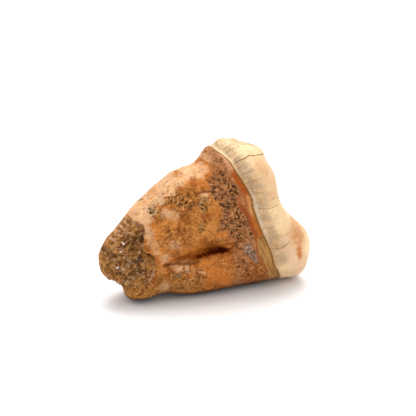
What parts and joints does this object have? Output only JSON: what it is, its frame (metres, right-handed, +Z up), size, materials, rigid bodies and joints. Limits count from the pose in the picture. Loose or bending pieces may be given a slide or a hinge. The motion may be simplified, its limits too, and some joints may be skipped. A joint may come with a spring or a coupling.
{
  "type": "fossil cave bear tooth",
  "caption": "Fossil cheek tooth of a cave bear lying on its edge, cream enamel crown and pitted orange-brown root with broken tips.",
  "frame": {"origin": "on the resting surface, in the middle of the tooth's box in X and Y", "axes": "+X from the root tips towards the crown, +Z up, -Y towards the side with the open furrow"},
  "size_m": [0.0364, 0.0186, 0.0255],
  "materials": {
    "fossil_tooth": "satin, orange-brown pitted root and cream to pale orange enamel with fine cracks"
  },
  "bodies": {
    "root": {"tooth": "fossil_tooth"}
  },
  "joints": []
}
